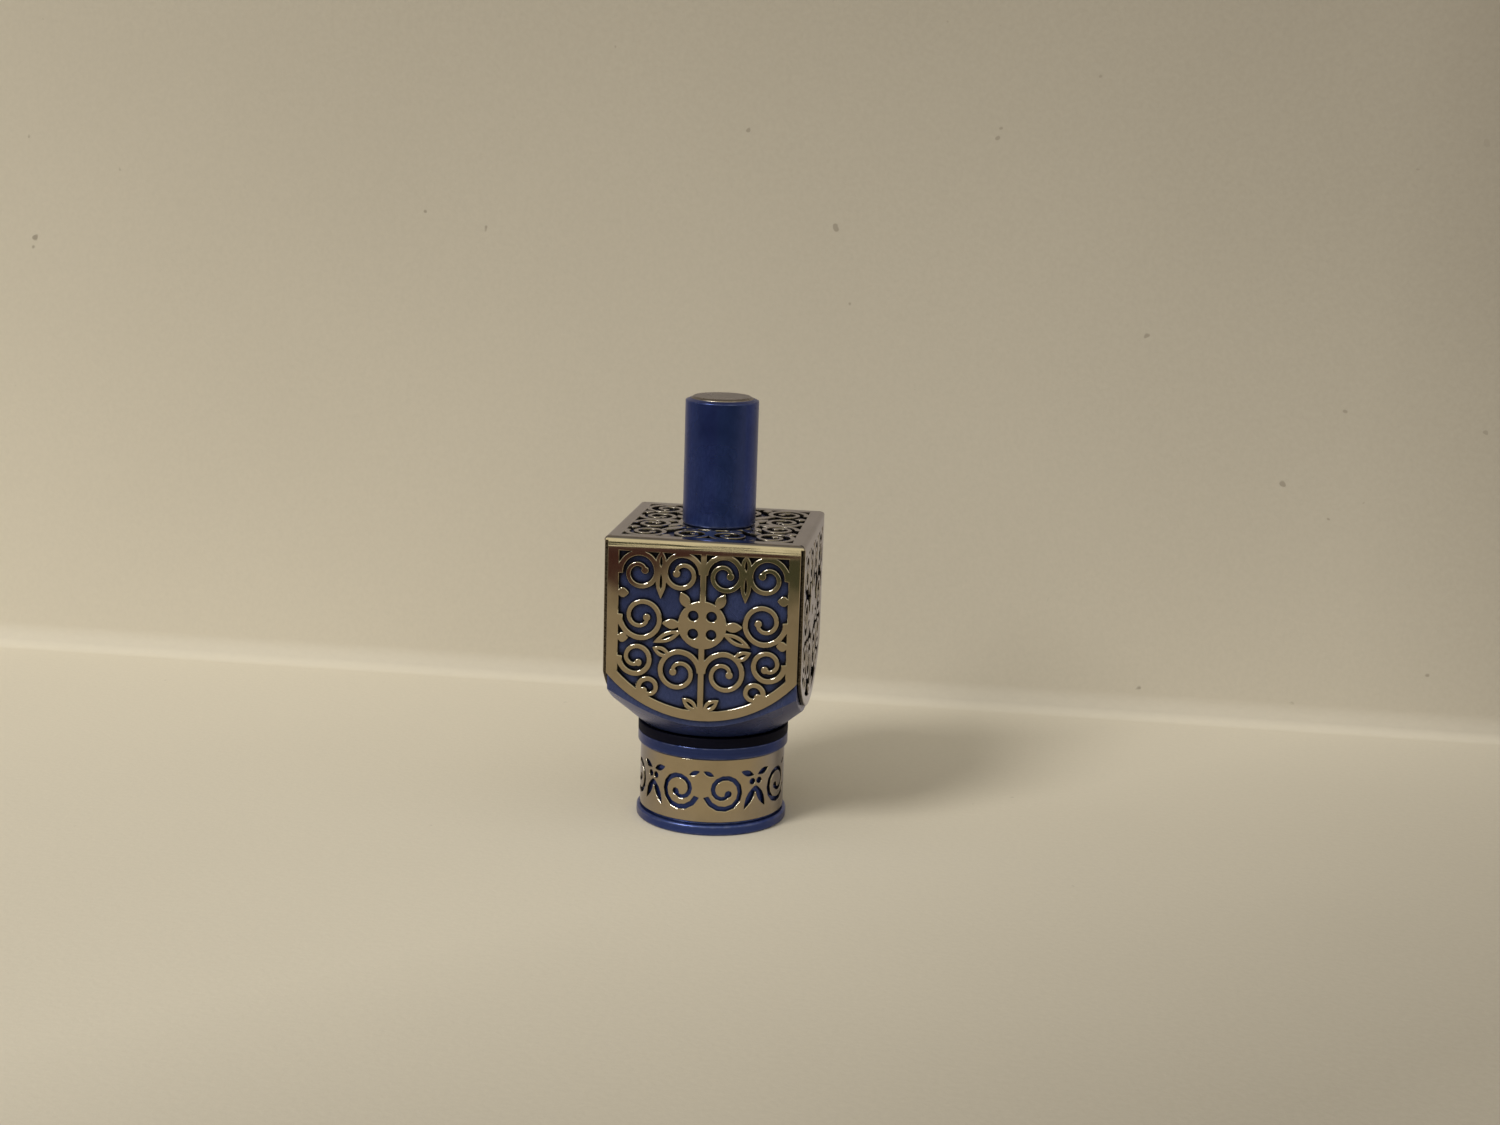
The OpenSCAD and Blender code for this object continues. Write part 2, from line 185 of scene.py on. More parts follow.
def stretched(tree, place, stretch):
    """Multiplies a place by a stretch along each axis."""
    return put_node(tree, "ShaderNodeVectorMath", {0: place, 1: stretch},
                    operation="MULTIPLY").outputs[0]


def from_axis(tree, x, y):
    """Distance of a place from the upright axis."""
    return calc(tree, "SQRT", calc(tree, "ADD", calc(tree, "MULTIPLY", x, x),
                                   calc(tree, "MULTIPLY", y, y)))


def relief(tree, shader, height, strength, distance, under=None):
    """Gives a shader the small relief of a height, over another relief if there is one."""
    inputs = {"Height": height, "Strength": strength, "Distance": distance}
    if under is not None:
        inputs["Normal"] = under
    bump = put_node(tree, "ShaderNodeBump", inputs).outputs["Normal"]
    tree.links.new(bump, shader.inputs["Normal"])
    return bump


def set_input(tree, shader, name, value):
    """Links a value or a colour to a shader's input."""
    tree.links.new(value, shader.inputs[name])


def shader_group(name, inputs, outputs):
    """Starts a node group for materials, with its named inputs and outputs."""
    group = bpy.data.node_groups.new(name, "ShaderNodeTree")
    for label, kind, value in inputs:
        socket = group.interface.new_socket(label, in_out="INPUT", socket_type=kind)
        socket.default_value = value
    for label, kind in outputs:
        group.interface.new_socket(label, in_out="OUTPUT", socket_type=kind)
    return group, group.nodes.new("NodeGroupInput"), group.nodes.new("NodeGroupOutput")


def anodised_grain():
    """Fine lines left by the tool under the anodising, and the dye's slow clouds."""
    group, given, result = shader_group(
        "Anodised Grain",
        [("Vector", "NodeSocketVector", (0, 0, 0)), ("Lines", "NodeSocketFloat", 2400),
         ("Stretch", "NodeSocketVector", (1, 1, 1)), ("Clouds", "NodeSocketFloat", 90)],
        [("Tone", "NodeSocketFloat"), ("Cloud", "NodeSocketFloat"),
         ("Height", "NodeSocketFloat")])
    along = stretched(group, given.outputs["Vector"], given.outputs["Stretch"])
    lines = noise(group, along, given.outputs["Lines"], 3.0, 0.6)
    speckle = noise(group, given.outputs["Vector"], 6000.0, 1.0)
    clouds = noise(group, given.outputs["Vector"], given.outputs["Clouds"], 3.0)
    tone = calc(group, "ADD", calc(group, "MULTIPLY", lines, 0.7),
                calc(group, "MULTIPLY", speckle, 0.3))
    group.links.new(tone, result.inputs["Tone"])
    group.links.new(clouds, result.inputs["Cloud"])
    group.links.new(tone, result.inputs["Height"])
    return group


def edge_wear():
    """A mask that is 1 where a piece's rounded edges are rubbed, broken up by noise."""
    group, given, result = shader_group(
        "Edge Wear",
        [("Vector", "NodeSocketVector", (0, 0, 0)), ("Patches", "NodeSocketFloat", 700),
         ("Amount", "NodeSocketFloat", 0.5)],
        [("Mask", "NodeSocketFloat")])
    edge = put_node(group, "ShaderNodeAttribute", attribute_name="edge").outputs["Fac"]
    patches = noise(group, given.outputs["Vector"], given.outputs["Patches"], 4.0)
    broken = ramp(group, patches, 0.35, 0.65)
    mask = calc(group, "MULTIPLY", calc(group, "MULTIPLY", edge, broken),
                given.outputs["Amount"])
    group.links.new(mask, result.inputs["Mask"])
    return group


anodised_grain_group = anodised_grain()
edge_wear_group = edge_wear()
blue_deep = (0.010, 0.027, 0.140, 1)
blue_open = (0.030, 0.058, 0.240, 1)
blue_rubbed = (0.110, 0.140, 0.300, 1)
blue_coat = 0.25


def new_material(name):
    """A material with its shader tree, object coordinates and Principled shader."""
    material = bpy.data.materials.new(name)
    material.use_nodes = True
    tree = material.node_tree
    place = tree.nodes.new("ShaderNodeTexCoord").outputs["Object"]
    return material, tree, place, tree.nodes["Principled BSDF"]


def anodised_blue(name, stretch, lines=2400.0, turned_rings=False,
                  deep=blue_deep, shallow=blue_open):
    """Satin blue anodised aluminium. Its grain runs along the axis with the least stretch,
    or round the axis where the piece was turned."""
    material, tree, place, shader = new_material(name)
    grain_place = place
    if turned_rings:
        parts = put_node(tree, "ShaderNodeSeparateXYZ", {0: place})
        radius = from_axis(tree, parts.outputs[0], parts.outputs[1])
        grain_place = put_node(tree, "ShaderNodeCombineXYZ",
                               {0: radius, 1: 0.0, 2: parts.outputs[2]}).outputs[0]
    grain = put_node(tree, "ShaderNodeGroup", {"Vector": grain_place, "Stretch": stretch,
                                               "Lines": lines}, node_tree=anodised_grain_group)
    wear = put_node(tree, "ShaderNodeGroup", {"Vector": place, "Amount": 0.55},
                    node_tree=edge_wear_group)
    tone = calc(tree, "ADD", calc(tree, "MULTIPLY", grain.outputs["Tone"], 0.6),
                calc(tree, "MULTIPLY", grain.outputs["Cloud"], 0.4))
    dyed = tint(tree, ramp(tree, tone, 0.36, 0.66), deep, shallow)
    set_input(tree, shader, "Base Color", tint(tree, wear.outputs["Mask"], dyed, blue_rubbed))
    set_input(tree, shader, "Roughness", ramp(tree, grain.outputs["Cloud"], 0.3, 0.7, 0.22, 0.32))
    shader.inputs["Metallic"].default_value = 0.8
    shader.inputs["Coat Weight"].default_value = blue_coat
    shader.inputs["Coat Roughness"].default_value = 0.22
    relief(tree, shader, grain.outputs["Height"], 0.12, 0.02 * mm)
    return material


def finish_piece(piece, material, body, slot, *nodes):
    """Gives a finished piece its material and body, and the CAD nodes it shows. Its record slot is
    not used.
    """
    if material is not None:
        piece.data.materials.clear()
        piece.data.materials.append(material)
    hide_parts(*nodes)
    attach(piece, body)


spool_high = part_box("stand_spool")[1]
band_low, band_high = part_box("stand_band")
ring_low, ring_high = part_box("seat_ring")
base_r, base_t = spool_high.x, 2.2 * mm
rim_r, rim_t = ring_high.x, 2.5 * mm
band_r, band_t, band_gap = band_high.x, 0.6 * mm, 0.05 * mm
core_r = band_r - band_t - band_gap
socket_r, socket_floor = 12.83 * mm, 3.6 * mm
flange_bevel = 0.3 * mm
spool_outline = [
    (0, 0), (base_r - flange_bevel, 0), (base_r, flange_bevel),
    (base_r, base_t - flange_bevel), (base_r - flange_bevel, base_t), (core_r, base_t),
    (core_r, spool_high.z - rim_t), (rim_r - flange_bevel, spool_high.z - rim_t),
    (rim_r, spool_high.z - rim_t + flange_bevel), (rim_r, spool_high.z),
    (socket_r, spool_high.z), (socket_r, socket_floor), (0, socket_floor)]
spool = turned("turned_spool", spool_outline, 0.15 * mm)
turned_blue = anodised_blue("turned_blue", (1.0, 1.0, 1.0), 3200.0, turned_rings=True)
finish_piece(spool, turned_blue, "stand", "anodised_blue", "stand_spool")


# Stand band
# A strip of steel sheet, laser cut with scrolls, polished and rolled round the core of the
# spool. Its ends meet in a seam at the back.
def side_loops(node, on_side, flatten):
    """The outlines of one side of a CAD node, as closed loops of points on its flat
    drawing. The side is the triangles whose corners all pass on_side."""
    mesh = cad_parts[node].data
    spots, uses = {}, {}
    for face in mesh.polygons:
        corners = [mesh.vertices[i].co for i in face.vertices]
        if all(on_side(c) for c in corners):
            keys = []
            for c in corners:
                u, v = flatten(c)
                key = (round(u * 2e6), round(v * 2e6))
                spots.setdefault(key, Vector((u, v)))
                keys.append(key)
            for a, b in zip(keys, keys[1:] + keys[:1]):
                uses[(a, b)] = uses.get((a, b), 0) + 1
    following = {a: b for a, b in uses if (b, a) not in uses and a != b}
    loops = []
    while following:
        key = next(iter(following))
        loop = []
        while key in following:
            loop.append(spots[key])
            key = following.pop(key)
        if len(loop) > 2:
            loops.append(loop)
    return loops


def loop_area(loop):
    """Area inside a loop, negative where it runs clockwise."""
    return sum(a.x * b.y - b.x * a.y for a, b in zip(loop, loop[1:] + loop[:1])) / 2


def blunt(loop, least_turn=math.radians(60), least_width=0.3 * mm):
    """Cuts back the needles of steel in an outline to where they have some width."""
    tips = [point for before, point, after
            in zip(loop[-1:] + loop[:-1], loop, loop[1:] + loop[:1])
            if (point - before).cross(after - point) > 0
            and (point - before).angle(after - point) > least_turn
            and (after - before).length < least_width]
    for tip in tips:
        if tip in loop:
            at = loop.index(tip)
            loop = loop[at:] + loop[:at]
            first, last = 1, len(loop) - 1
            while first < last - 2 and (loop[first] - loop[last]).length < least_width:
                first, last = first + 1, last - 1
            loop = loop[first:last + 1]
    return loop


def smooth_loop(loop, sharp=math.radians(52), meeting=math.radians(30), arc=math.radians(13)):
    """Replaces the chords of a drawn outline by short arcs. Its corners stay sharp, and
    its level and upright edges stay straight."""
    loop = [p for p, q in zip(loop, loop[1:] + loop[:1]) if (p - q).length > 2e-6]
    loop = blunt(loop)
    count = len(loop)
    chords = [loop[(i + 1) % count] - loop[i] for i in range(count)]
    straight = [min(abs(c.x), abs(c.y)) < 1e-7 and c.length > 0.4 * mm for c in chords]
    tangents = []
    for i in range(count):
        into, out = chords[i - 1], chords[i]
        turn = into.angle(out)
        if turn > sharp or straight[i - 1] and straight[i] \
                or straight[i - 1] != straight[i] and turn > meeting:
            tangents.append(None)
        elif straight[i - 1]:
            tangents.append(into.normalized())
        elif straight[i]:
            tangents.append(out.normalized())
        else:
            tangents.append((into.normalized() * out.length
                             + out.normalized() * into.length).normalized())
    result = []
    for i in range(count):
        start, chord = loop[i], chords[i]
        result.append(start)
        first, last = tangents[i], tangents[(i + 1) % count]
        if straight[i] or (first is None and last is None):
            continue
        line = chord.normalized()
        first = first or (line * 2 * line.dot(last) - last)
        last = last or (line * 2 * line.dot(first) - first)
        steps = min(3, math.ceil(first.angle(last) / arc))
        end, pull = start + chord, chord.length * 0.336
        for k in range(1, steps):
            t = k / steps
            result.append(start * (1 - t) ** 3 + (start + first * pull) * 3 * t * (1 - t) ** 2
                          + (end - last * pull) * 3 * t * t * (1 - t) + end * t ** 3)
    return result


def inward(loop):
    """For each point of an outline, the step into the sheet that its rounding follows."""
    steps = []
    for before, point, after in zip(loop[-1:] + loop[:-1], loop, loop[1:] + loop[:1]):
        into, out = (point - before).normalized(), (after - point).normalized()
        left = Vector((-into.y - out.y, into.x + out.x))
        reach = max(left.length_squared / 2, 0.7)
        steps.append(left / reach)
    return steps


def fill_outlines(points, sides):
    """Triangles that fill a drawing between its outlines. Each side of an outline that is
    crossed on the way in from outside turns empty into filled, or filled into empty."""
    _, lines, faces, _, sources, _ = delaunay_2d_cdt(points, sides, [], 0, 1e-9, True)
    drawn = {frozenset(line) for line, source in zip(lines, sources) if source}
    beside = {}
    for index, face in enumerate(faces):
        for a, b in zip(face, face[1:] + face[:1]):
            beside.setdefault(frozenset((a, b)), []).append(index)
    filled = {found[0]: line in drawn for line, found in beside.items() if len(found) == 1}
    waiting = list(filled)
    while waiting:
        index = waiting.pop()
        face = faces[index]
        for a, b in zip(face, face[1:] + face[:1]):
            line = frozenset((a, b))
            for other in beside[line]:
                if other not in filled:
                    filled[other] = filled[index] != (line in drawn)
                    waiting.append(other)
    return [face for index, face in enumerate(faces) if filled[index]]


def cut_sheet(loops, thickness, edge_round=0.12 * mm):
    """A flat sheet with its outlines cut through it and its borders rounded. Its outer
    side lies at height 0. The layer edge is 1 on the cut walls."""
    form = bmesh.new()
    edge = form.verts.layers.float.new("edge")
    part_way = edge_round * (1 - math.sin(math.pi / 4))
    profile = [(edge_round, 0), (part_way, part_way), (0, edge_round)]
    profile += [(inset, thickness - depth) for inset, depth in reversed(profile)]
    faces_points = [[], []]
    sides = []
    for loop in loops:
        steps = inward(loop)
        rows = []
        for inset, depth in profile:
            row = [form.verts.new((p.x + s.x * inset, p.y + s.y * inset, -depth))
                   for p, s in zip(loop, steps)]
            for vertex in row:
                vertex[edge] = float(inset == 0)
            rows.append(row)
        first = len(faces_points[0])
        count = len(loop)
        sides += [(first + i, first + (i + 1) % count) for i in range(count)]
        for side, row in zip(faces_points, (rows[0], rows[-1])):
            side += row
        for upper, lower in zip(rows, rows[1:]):
            for i in range(count):
                j = (i + 1) % count
                form.faces.new((upper[i], lower[i], lower[j], upper[j]))
    for face in fill_outlines([v.co.xy for v in faces_points[0]], sides):
        for side, order in zip(faces_points, (1, -1)):
            form.faces.new([side[i] for i in face][::order])
    return form


def cut_across(form, axis, places):
    """Cuts a flat sheet along straight lines, so that it can be bent there."""
    direction = Vector((1, 0, 0)) if axis == 0 else Vector((0, 1, 0))
    for place in places:
        faces = [f for f in form.faces
                 if min(v.co[axis] for v in f.verts) < place < max(v.co[axis] for v in f.verts)]
        touched = faces + list({e for f in faces for e in f.edges}) \
            + list({v for f in faces for v in f.verts})
        bmesh.ops.bisect_plane(form, geom=touched, dist=1e-8, plane_co=direction * place,
                               plane_no=direction)


def sheet_mesh(name, form):
    """Ends a sheet's flat state: marks its outer side, and the borders of its flats."""
    outer = form.faces.layers.int.new("outer")
    form.normal_update()
    for face in form.faces:
        face[outer] = int(all(v.co.z > -1e-7 for v in face.verts))
    for line in form.edges:
        if len(line.link_faces) == 2:
            levels = [abs(f.normal.z) > 0.999 for f in line.link_faces]
            line.smooth = levels[0] == levels[1]
    mesh = bpy.data.meshes.new(name)
    form.to_mesh(mesh)
    form.free()
    mesh.polygons.foreach_set("use_smooth", [True] * len(mesh.polygons))
    return mesh


def bending_tree(name, inputs):
    """Starts a Geometry Nodes tree that bends a flat sheet by its named sizes."""
    tree = bpy.data.node_groups.new(name, "GeometryNodeTree")
    tree.interface.new_socket("Geometry", in_out="INPUT", socket_type="NodeSocketGeometry")
    for label in inputs:
        tree.interface.new_socket(label, in_out="INPUT", socket_type="NodeSocketFloat")
    tree.interface.new_socket("Finish", in_out="INPUT", socket_type="NodeSocketMaterial")
    tree.interface.new_socket("Geometry", in_out="OUTPUT", socket_type="NodeSocketGeometry")
    return tree, tree.nodes.new("NodeGroupInput")


def end_bending(tree, given, x, y, z):
    """Ends such a tree: moves each point, realises it and sets its material."""
    place = put_node(tree, "ShaderNodeCombineXYZ", {0: x, 1: y, 2: z})
    moved = put_node(tree, "GeometryNodeSetPosition",
                     {"Geometry": given.outputs["Geometry"], "Position": place.outputs[0]})
    real = put_node(tree, "GeometryNodeRealizeInstances", {0: moved.outputs[0]})
    made = put_node(tree, "GeometryNodeSetMaterial",
                    {"Geometry": real.outputs[0], "Material": given.outputs["Finish"]})
    result = tree.nodes.new("NodeGroupOutput")
    tree.links.new(made.outputs[0], result.inputs[0])


def bend(name, mesh, tree, sizes, material):
    """Runs a bending tree on a flat sheet and gives the bent piece, with no modifier."""
    flat = link(name + "_flat", mesh)
    modifier = flat.modifiers.new("bend", "NODES")
    modifier.node_group = tree
    for item in tree.interface.items_tree:
        if item.in_out == "INPUT" and item.name in sizes:
            modifier[item.identifier] = sizes[item.name]
        if item.in_out == "INPUT" and item.name == "Finish":
            modifier[item.identifier] = material
    bent = bpy.data.meshes.new_from_object(
        flat.evaluated_get(bpy.context.evaluated_depsgraph_get()))
    bpy.data.objects.remove(flat)
    bent.name = name
    return link(name, bent)


def true_normals(piece, rule):
    """Gives the outer side of a bent sheet the exact normals of its shape."""
    mesh = piece.data
    outer = mesh.attributes["outer"].data
    normals = [Vector((0, 0, 0))] * len(mesh.loops)
    for face in mesh.polygons:
        if outer[face.index].value:
            for corner in face.loop_indices:
                normals[corner] = rule(mesh.vertices[mesh.loops[corner].vertex_index].co)
    mesh.normals_split_custom_set(normals)


def polish_marks():
    """Hairlines of a polishing wheel, handling smudges, and the sheet's slow waves."""
    group, given, result = shader_group(
        "Polish Marks",
        [("Vector", "NodeSocketVector", (0, 0, 0)), ("Hairlines", "NodeSocketFloat", 900),
         ("Smudges", "NodeSocketFloat", 110), ("Waves", "NodeSocketFloat", 70)],
        [("Hairline", "NodeSocketFloat"), ("Smudge", "NodeSocketFloat"),
         ("Wave", "NodeSocketFloat")])
    lines = None
    for squeeze in ((0.04, 1.0, 1.0), (1.0, 0.05, 1.0), (1.0, 1.0, 0.03)):
        along = stretched(group, given.outputs["Vector"], squeeze)
        drawn = noise(group, along, given.outputs["Hairlines"], 2.0)
        lines = drawn if lines is None else calc(group, "ADD", lines, drawn)
    smudge = noise(group, given.outputs["Vector"], given.outputs["Smudges"], 5.0, 0.6)
    wave = noise(group, given.outputs["Vector"], given.outputs["Waves"], 1.0)
    group.links.new(calc(group, "DIVIDE", lines, 3.0), result.inputs["Hairline"])
    group.links.new(smudge, result.inputs["Smudge"])
    group.links.new(wave, result.inputs["Wave"])
    return group


polish_marks_group = polish_marks()


def polished_steel(name, base, smudged, oxide_and_shade, wave_height, roughness):
    """Polished steel with hairlines and smudges. Its cut walls are darkened, partly as laser oxide
    and partly as painted shade.
    """
    material, tree, place, shader = new_material(name)
    marks = put_node(tree, "ShaderNodeGroup", {"Vector": place}, node_tree=polish_marks_group)
    wear = put_node(tree, "ShaderNodeGroup", {"Vector": place, "Amount": 1.0, "Patches": 2500.0},
                    node_tree=edge_wear_group)
    cut = put_node(tree, "ShaderNodeAttribute", attribute_name="edge").outputs["Fac"]
    # Painted shade, partly laser oxide: the cut walls are darkened towards near black, in patches.
    cut_oxide_and_shade = calc(tree, "MULTIPLY", cut, calc(tree, "ADD", calc(
        tree, "MULTIPLY", wear.outputs["Mask"], 0.25), 0.75))
    smudge = ramp(tree, marks.outputs["Smudge"], 0.45, 0.75)
    set_input(tree, shader, "Base Color",
              tint(tree, cut_oxide_and_shade, tint(tree, smudge, base, smudged), oxide_and_shade))
    rough = calc(tree, "ADD", calc(tree, "MULTIPLY", smudge, 0.07),
                 calc(tree, "ADD", roughness, calc(tree, "MULTIPLY", cut, 0.3)))
    set_input(tree, shader, "Roughness", rough)
    shader.inputs["Metallic"].default_value = 1
    wavy = relief(tree, shader, marks.outputs["Wave"], 1.0, wave_height)
    relief(tree, shader, marks.outputs["Hairline"], 0.15, 0.004 * mm, wavy)
    return material


# The third colour darkens the cut walls: partly laser oxide, partly painted shade.
sheet_steel = polished_steel("polished_sheet", (0.42, 0.385, 0.325, 1), (0.36, 0.325, 0.265, 1),
                             (0.018, 0.015, 0.013, 1), 0.11 * mm, 0.06)

roll_tree, roll_in = bending_tree("Roll Strip", ["Radius", "Low Edge"])
flat_place = put_node(roll_tree, "ShaderNodeSeparateXYZ",
                      {0: roll_tree.nodes.new("GeometryNodeInputPosition").outputs[0]})
roll_angle = calc(roll_tree, "DIVIDE", flat_place.outputs[0], roll_in.outputs["Radius"])
roll_r = calc(roll_tree, "ADD", roll_in.outputs["Radius"], flat_place.outputs[2])
end_bending(roll_tree, roll_in,
            calc(roll_tree, "MULTIPLY", roll_r, calc(roll_tree, "SINE", roll_angle)),
            calc(roll_tree, "MULTIPLY", calc(roll_tree, "COSINE", roll_angle),
                 calc(roll_tree, "MULTIPLY", roll_r, -1.0)),
            calc(roll_tree, "ADD", flat_place.outputs[1], roll_in.outputs["Low Edge"]))

band_loops = side_loops(
    "stand_band", lambda c: abs(math.hypot(c.x, c.y) - band_r) < 4e-6,
    lambda c: (band_r * math.atan2(c.x, -c.y), c.z - band_low.z))
band_form = cut_sheet([smooth_loop(loop) for loop in band_loops], band_t, 0.1 * mm)
bend_step = math.radians(3)
cut_across(band_form, 0, [band_r * bend_step * i for i in range(-59, 60)])
band = bend("rolled_band", sheet_mesh("band", band_form), roll_tree,
            {"Radius": band_r, "Low Edge": band_low.z}, sheet_steel)
true_normals(band, lambda c: Vector((c.x, c.y, 0)).normalized())
finish_piece(band, None, "stand", "polished_sheet", "stand_band")

# Seat ring
# A black rubber ring that lies on the spool's top flange, bored to the slope of the foot,
# so that the dreidel sits without rattling. Its near-black colour is partly the ring's own
# and partly painted shade of the narrow gap under the foot.
foot_slope = math.radians(40)
ring_land, ring_inner_r = 0.65 * mm, 13.23 * mm
ring_seat_r = rim_r - ring_land
seat_ring = turned("rubber_ring", [
    (ring_inner_r, ring_low.z), (rim_r, ring_low.z), (rim_r, ring_high.z),
    (ring_seat_r, ring_high.z),
    (ring_inner_r, ring_high.z - (ring_seat_r - ring_inner_r) * math.tan(foot_slope))],
    0.2 * mm)
ring_black, ring_tree, ring_place, ring_shader = new_material("black_rubber_and_shade")
ring_dust = noise(ring_tree, ring_place, 1500.0, 4.0)
# Partly painted shade: this near-black stands for the dark gap under the foot as well as the
# ring's own black.
set_input(ring_tree, ring_shader, "Base Color",
          tint(ring_tree, ring_dust, (0.0010, 0.0012, 0.0050, 1), (0.0030, 0.0035, 0.0100, 1)))
set_input(ring_tree, ring_shader, "Roughness", ramp(ring_tree, ring_dust, 0.0, 1.0, 0.45, 0.60))
relief(ring_tree, ring_shader, ring_dust, 0.2, 0.01 * mm)
ring_shader.inputs["Specular IOR Level"].default_value = 0.06
finish_piece(seat_ring, ring_black, "stand", "seat_rubber", "seat_ring")

# Block
# A square bar of aluminium with its end turned to a cone that the dreidel spins on, and a
# tapped hole in its top. It shows blue through the cover's openings and below the flaps,
# with painted shade along their edges.
block_low, block_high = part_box("body")
block_half = block_high.x
corner_cut, top_cut, tip_r = 0.4 * mm, 0.25 * mm, 1.5 * mm
stud_r, stud_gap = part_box("stem_stud")[1].x, 0.05 * mm
stud_low, stud_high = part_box("stem_stud")[0].z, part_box("stem_stud")[1].z
hole_end_gap = 0.5 * mm
tip_centre = block_low.z + tip_r
apex_z = tip_centre - tip_r / math.cos(foot_slope)


def block_reach(angle):
    """Distance from the axis to the side of the square, or to its cut corner."""
    a = abs((angle + math.pi / 4) % (math.pi / 2) - math.pi / 4)
    across_corner = (2 * block_half - corner_cut) / math.sqrt(2)
    return min(block_half / math.cos(a), across_corner / math.cos(math.pi / 4 - a))


def block_columns():
    """Angles of the block's columns: evenly across each face, and at its corners' edges."""
    bend_at = math.atan2(block_half - corner_cut, block_half)
    face_steps = 36
    return [q * math.pi / 2 - bend_at + 2 * bend_at * i / face_steps
            for q in range(4) for i in range(face_steps + 1)]


def block_rows(angle):
    """Points of one column, from the tip up to the rim of the tapped hole and down it."""
    reach = block_reach(angle)
    chamfer = top_cut / math.cos((angle + math.pi / 4) % (math.pi / 2) - math.pi / 4)
    rows = [(0, block_low.z)]
    for i in range(1, 7):
        a = foot_slope * i / 6
        rows.append((tip_r * math.sin(a), tip_centre - tip_r * math.cos(a)))
    for i in range(1, 10):
        r = rows[6][0] + (reach - rows[6][0]) * i / 9
        rows.append((r, apex_z + r * math.tan(foot_slope)))
    edge_z = apex_z + reach * math.tan(foot_slope)
    for i in range(1, 8):
        rows.append((reach, edge_z + (block_high.z - top_cut - edge_z) * i / 7))
    rows.append((reach - chamfer, block_high.z))
    hole_r = stud_r + stud_gap
    rows += [(hole_r, block_high.z), (hole_r, stud_low - hole_end_gap),
             (0, stud_low - hole_end_gap)]
    return rows


block_form = bmesh.new()
columns = [[(a, row) for row in block_rows(a)] for a in block_columns()]
poles = {0: block_form.verts.new((0, 0, columns[0][0][1][1])),
         len(columns[0]) - 1: block_form.verts.new((0, 0, columns[0][-1][1][1]))}
block_grid = [[poles.get(k) or block_form.verts.new(
    (row[0] * math.cos(a), row[0] * math.sin(a), row[1]))
    for k, (a, row) in enumerate(column)] for column in columns]
for one, two in zip(block_grid, block_grid[1:] + block_grid[:1]):
    for k in range(len(one) - 1):
        corners = list(dict.fromkeys([one[k], two[k], two[k + 1], one[k + 1]]))
        if len(corners) > 2:
            block_form.faces.new(corners)
bmesh.ops.recalc_face_normals(block_form, faces=block_form.faces)
block_mesh = bpy.data.meshes.new("block")
block_form.to_mesh(block_mesh)
block_form.free()
block_rough = link("block_rough", block_mesh)
softening = block_rough.modifiers.new("edges", "BEVEL")
softening.width, softening.segments = 0.12 * mm, 2
softening.limit_method, softening.angle_limit = "ANGLE", math.radians(25)
softening.harden_normals = True
block_mesh.shade_smooth()
block_soft = bpy.data.meshes.new_from_object(
    block_rough.evaluated_get(bpy.context.evaluated_depsgraph_get()))
bpy.data.objects.remove(block_rough)


def mark_edges(mesh, least=math.radians(12), most=math.radians(24)):
    """Writes the layer edge: 1 at points where the faces round them turn sharply."""
    round_point = [[] for _ in mesh.vertices]
    for face in mesh.polygons:
        for i in face.vertices:
            round_point[i].append(face.normal)
    values = []
    for normals in round_point:
        turn = max((normals[0].angle(n, 0) for n in normals), default=0)
        values.append(min(1, max(0, (turn - least) / (most - least))))
    mesh.attributes.new("edge", "FLOAT", "POINT").data.foreach_set("value", values)


mark_edges(block_soft)
block = link("block", block_soft)
milled_blue = anodised_blue("milled_blue", (1.0, 1.0, 0.5), deep=(0.024, 0.044, 0.160, 1),
                            shallow=(0.062, 0.094, 0.290, 1))
block_tree = milled_blue.node_tree
block_shader = block_tree.nodes["Principled BSDF"]
# Painted shade: an ambient occlusion node blackens the blue and thins its coat where the cover
# lies close over the block, along the openings' edges and under the flaps.
occlusion_reach, painted_shade_black = 1.3 * mm, (0.003, 0.003, 0.005, 1)
open_share = put_node(block_tree, "ShaderNodeAmbientOcclusion", {"Distance": occlusion_reach},
                      samples=8).outputs["AO"]
unshaded_share = ramp(block_tree, open_share, 0.55, 0.88)
unshaded_blue = block_shader.inputs["Base Color"].links[0].from_socket
set_input(block_tree, block_shader, "Base Color",
          tint(block_tree, unshaded_share, painted_shade_black, unshaded_blue))
set_input(block_tree, block_shader, "Coat Weight",
          calc(block_tree, "MULTIPLY", unshaded_share, blue_coat))
finish_piece(block, milled_blue, "dreidel", "anodised_blue", "body")

# Cover
# One blank of steel sheet, laser cut with scrolls, leaves and a count of pips on each flap,
# polished, and folded down over the four faces of the block.
sheet_t, fold_r, mitre_slit = 0.7 * mm, 0.9 * mm, 0.15 * mm
cover_half, cover_top = cover_high.x, cover_high.z
flat_half, fold_arc = cover_half - fold_r, fold_r * math.pi / 2
fold_z = cover_top - fold_r


def flap_side(q):
    """Which points lie on the outer face of flap q, and their place on the flat blank,
    outwards from the bend and along it."""
    turn = Matrix.Rotation(-q * math.pi / 2, 3, "Z")
    return (lambda c: abs((turn @ c).x - cover_half) < 2e-6 and c.z < fold_z + 1e-6,
            lambda c: (flat_half + fold_arc + fold_z - c.z, (turn @ c).y))


def fold_edge(side):
    """Points down one mitred end of a fold, on the flat blank."""
    steps = 6
    return [Vector((flat_half + fold_arc * i / steps,
                    side * (flat_half + fold_r * math.sin(math.pi / 2 * i / steps) - mitre_slit)))
            for i in range(steps + 1)]


